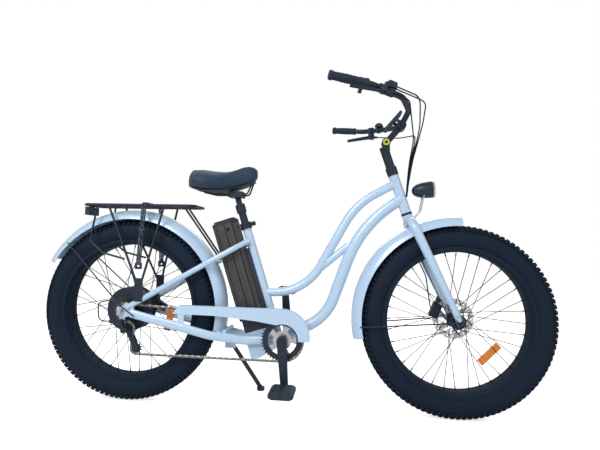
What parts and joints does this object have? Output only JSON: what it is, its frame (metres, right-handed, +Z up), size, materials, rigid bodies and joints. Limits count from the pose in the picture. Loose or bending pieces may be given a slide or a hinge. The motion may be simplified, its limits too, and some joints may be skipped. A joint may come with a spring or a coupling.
{
  "type": "electric beach cruiser bicycle",
  "caption": "Step-through fat-tyre electric beach cruiser bicycle with swept handlebar, fenders, rear rack, chain drive, hub motor and a battery behind the seat tube",
  "frame": {"origin": "on the floor, midway between the two wheels, in the bicycle's middle plane", "axes": "+X forwards, +Y to the rider's left, +Z up"},
  "size_m": [2.054, 0.7336, 1.2275],
  "materials": {
    "frame_paint": "gloss",
    "tyre_rubber": "matte",
    "black_metal": "satin",
    "spoke_steel": "satin",
    "bright_steel": "satin",
    "black_plastic": "matte",
    "battery_shell": "satin",
    "grip_rubber": "matte",
    "saddle_cover": "matte",
    "amber_lens": "gloss",
    "red_lens": "gloss"
  },
  "bodies": {
    "frame": {"head_tube": "frame_paint", "top_tube": "frame_paint", "down_tube": "frame_paint", "seat_tube": "frame_paint", "bottom_bracket_shell": "frame_paint", "chainstays": "frame_paint", "seatstays": "frame_paint", "bearing_cups": "black_metal", "battery_case": "battery_shell", "battery_cap": "black_plastic", "battery_dock": "black_plastic", "seat_clamp": "black_metal", "chain_guard": "frame_paint", "rear_fender": "frame_paint", "rear_rack": "black_metal", "tail_light": "red_lens", "bungee_straps": "black_plastic", "rear_brake_caliper": "black_metal", "rear_axle": "bright_steel", "rear_derailleur": "black_metal", "chain": "bright_steel"},
    "rear_wheel": {"rear_tyre": "tyre_rubber", "rear_rim": "black_metal", "rear_spokes": "spoke_steel", "hub_motor": "black_metal", "rear_rotor": "bright_steel", "rear_reflector": "amber_lens"},
    "freewheel": {"freewheel": "bright_steel"},
    "fork": {"fork": "frame_paint", "front_fender": "frame_paint", "headlight": "black_plastic", "front_brake_caliper": "black_metal", "stem_riser": "black_metal"},
    "front_wheel": {"front_tyre": "tyre_rubber", "front_rim": "black_metal", "front_spokes": "spoke_steel", "front_hub": "black_metal", "front_rotor": "bright_steel", "front_reflector": "amber_lens"},
    "handlebar": {"stem_arm": "black_metal", "handlebar": "black_metal", "grips": "grip_rubber", "bar_controls": "black_plastic", "display": "black_plastic", "control_cables": "black_plastic"},
    "brake_lever_right": {"brake_lever_right": "black_metal"},
    "brake_lever_left": {"brake_lever_left": "black_metal"},
    "throttle": {"throttle_paddle": "black_plastic"},
    "crank": {"crankset": "black_metal", "chainring": "black_metal"},
    "pedal_right": {"pedal_right": "black_metal"},
    "pedal_left": {"pedal_left": "black_metal"},
    "derailleur_cage": {"derailleur_cage": "black_metal"},
    "jockey_upper": {"jockey_upper": "black_plastic"},
    "jockey_lower": {"jockey_lower": "black_plastic"},
    "seat_post": {"seat_post": "black_metal"},
    "saddle": {"seat_post_head": "black_metal", "saddle_frame": "bright_steel", "saddle_cushion": "saddle_cover"},
    "kickstand": {"kickstand": "black_metal"}
  },
  "joints": [
    {"name": "steering", "type": "hinge", "parent": "frame", "child": "fork", "pos_m": [0.46528, 0, 0.77762], "axis": [-0.3289, 0, 0.9444], "range_deg": [-45, 45], "deforming": ["control_cables"]},
    {"name": "front_wheel_spin", "type": "hinge", "parent": "fork", "child": "front_wheel", "pos_m": [0.657, 0, 0.37], "axis": [0, 1, 0], "continuous": true},
    {"name": "rear_wheel_spin", "type": "hinge", "parent": "frame", "child": "rear_wheel", "pos_m": [-0.657, 0, 0.37], "axis": [0, 1, 0], "continuous": true},
    {"name": "crank_spin", "type": "hinge", "parent": "frame", "child": "crank", "pos_m": [-0.011, 0, 0.281], "axis": [0, 1, 0], "continuous": true, "deforming": ["chain"]},
    {"name": "freewheel_spin", "type": "hinge", "parent": "frame", "child": "freewheel", "pos_m": [-0.657, 0, 0.37], "axis": [0, 1, 0], "continuous": true},
    {"name": "derailleur_cage_swing", "type": "hinge", "parent": "frame", "child": "derailleur_cage", "pos_m": [-0.633, 0, 0.3], "axis": [0, 1, 0], "range_deg": [-12, 12], "stiffness_Nm_per_rad": 3, "deforming": ["chain"]},
    {"name": "jockey_upper_spin", "type": "hinge", "parent": "derailleur_cage", "child": "jockey_upper", "pos_m": [-0.633, 0, 0.3], "axis": [0, 1, 0], "continuous": true},
    {"name": "jockey_lower_spin", "type": "hinge", "parent": "derailleur_cage", "child": "jockey_lower", "pos_m": [-0.59769, 0, 0.22378], "axis": [0, 1, 0], "continuous": true},
    {"name": "pedal_right_spin", "type": "hinge", "parent": "crank", "child": "pedal_right", "pos_m": [0.00382, -0.093, 0.11165], "axis": [0, 1, 0], "continuous": true},
    {"name": "pedal_left_spin", "type": "hinge", "parent": "crank", "child": "pedal_left", "pos_m": [-0.02582, 0.093, 0.45035], "axis": [0, 1, 0], "continuous": true},
    {"name": "brake_lever_right_pull", "type": "hinge", "parent": "handlebar", "child": "brake_lever_right", "pos_m": [0.33951, -0.30147, 1.16857], "axis": [-0.261, 0.517, -0.8152], "range_deg": [0, 12], "stiffness_Nm_per_rad": 2, "springref_deg": -8.59},
    {"name": "brake_lever_left_pull", "type": "hinge", "parent": "handlebar", "child": "brake_lever_left", "pos_m": [0.33951, 0.30147, 1.16857], "axis": [0.261, 0.517, 0.8152], "range_deg": [0, 12], "stiffness_Nm_per_rad": 2, "springref_deg": -8.59},
    {"name": "throttle_turn", "type": "hinge", "parent": "handlebar", "child": "throttle", "pos_m": [0.30251, -0.297, 1.19348], "axis": [-0.9492, -0.2914, 0.1191], "range_deg": [0, 45], "stiffness_Nm_per_rad": 0.3, "springref_deg": -11.46},
    {"name": "stem_tilt", "type": "hinge", "parent": "fork", "child": "handlebar", "pos_m": [0.37951, 0, 1.06648], "axis": [0, 1, 0], "range_deg": [-20, 30], "deforming": ["control_cables"]},
    {"name": "seat_post_height", "type": "slide", "parent": "frame", "child": "seat_post", "axis": [-0.3156, 0, 0.9489], "range_m": [-0.04, 0.07]},
    {"name": "seat_suspension", "type": "slide", "parent": "seat_post", "child": "saddle", "axis": [-0.3156, 0, 0.9489], "range_m": [-0.02, 0], "stiffness_N_per_m": 12000, "springref_m": 0.003},
    {"name": "kickstand_fold", "type": "hinge", "parent": "frame", "child": "kickstand", "pos_m": [-0.25, 0.0723, 0.23], "axis": [0, 1, 0], "range_deg": [0, 100]}
  ],
  "couplings": [
    {"joint": "freewheel_spin", "follows": "crank_spin", "ratio": 2.8571},
    {"joint": "jockey_upper_spin", "follows": "crank_spin", "ratio": -3.6364},
    {"joint": "jockey_lower_spin", "follows": "crank_spin", "ratio": 3.6364}
  ]
}
